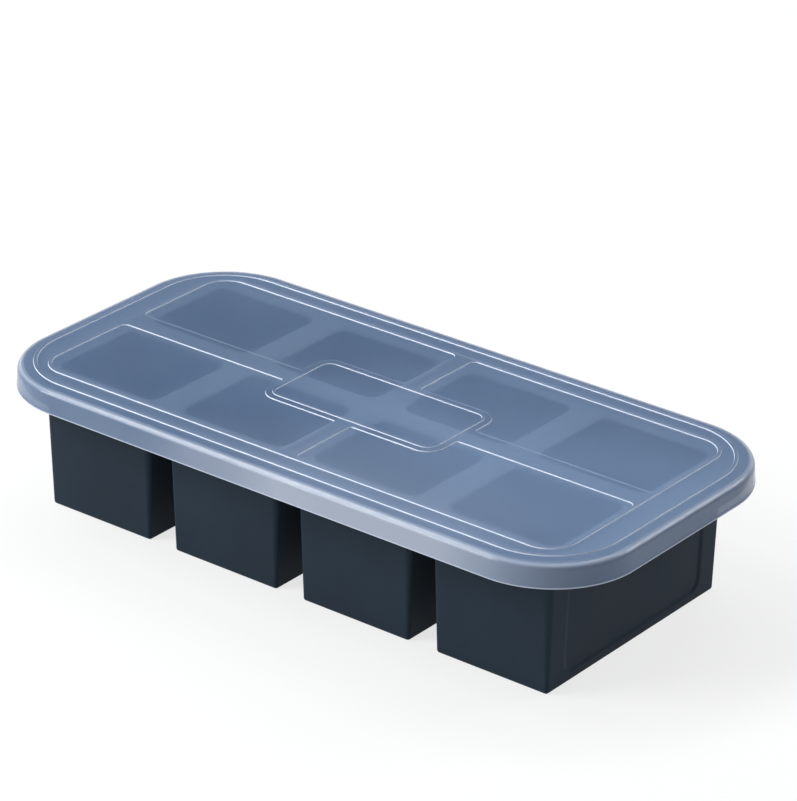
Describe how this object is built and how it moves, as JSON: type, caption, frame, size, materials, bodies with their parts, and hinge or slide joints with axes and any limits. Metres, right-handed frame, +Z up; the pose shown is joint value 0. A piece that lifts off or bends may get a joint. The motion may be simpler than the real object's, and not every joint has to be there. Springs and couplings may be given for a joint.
{
  "type": "lidded freezer tray",
  "caption": "Silicone freezer tray for baby food: deep square cups in separate blocks under a wide stiffened rim, with a translucent snap-over lid that lifts off.",
  "frame": {"origin": "centre of the underside, on the surface that the tray stands on", "axes": "+X along the length towards the end that carries the recessed panel, +Y across the width, +Z up"},
  "size_m": [0.27, 0.1328, 0.057],
  "materials": {
    "silicone": "satin moulded silicone",
    "wire": "rolled flat stainless wire",
    "lid_plastic": "translucent moulded polypropylene, softly glossy"
  },
  "bodies": {
    "tray": {"silicone_tray": "silicone", "rim_wire": "wire"},
    "lid": {"lid": "lid_plastic"}
  },
  "joints": [
    {"name": "lid_lift", "type": "slide", "parent": "tray", "child": "lid", "axis": [0, 0, 1], "range_m": [0, 0.08]}
  ]
}
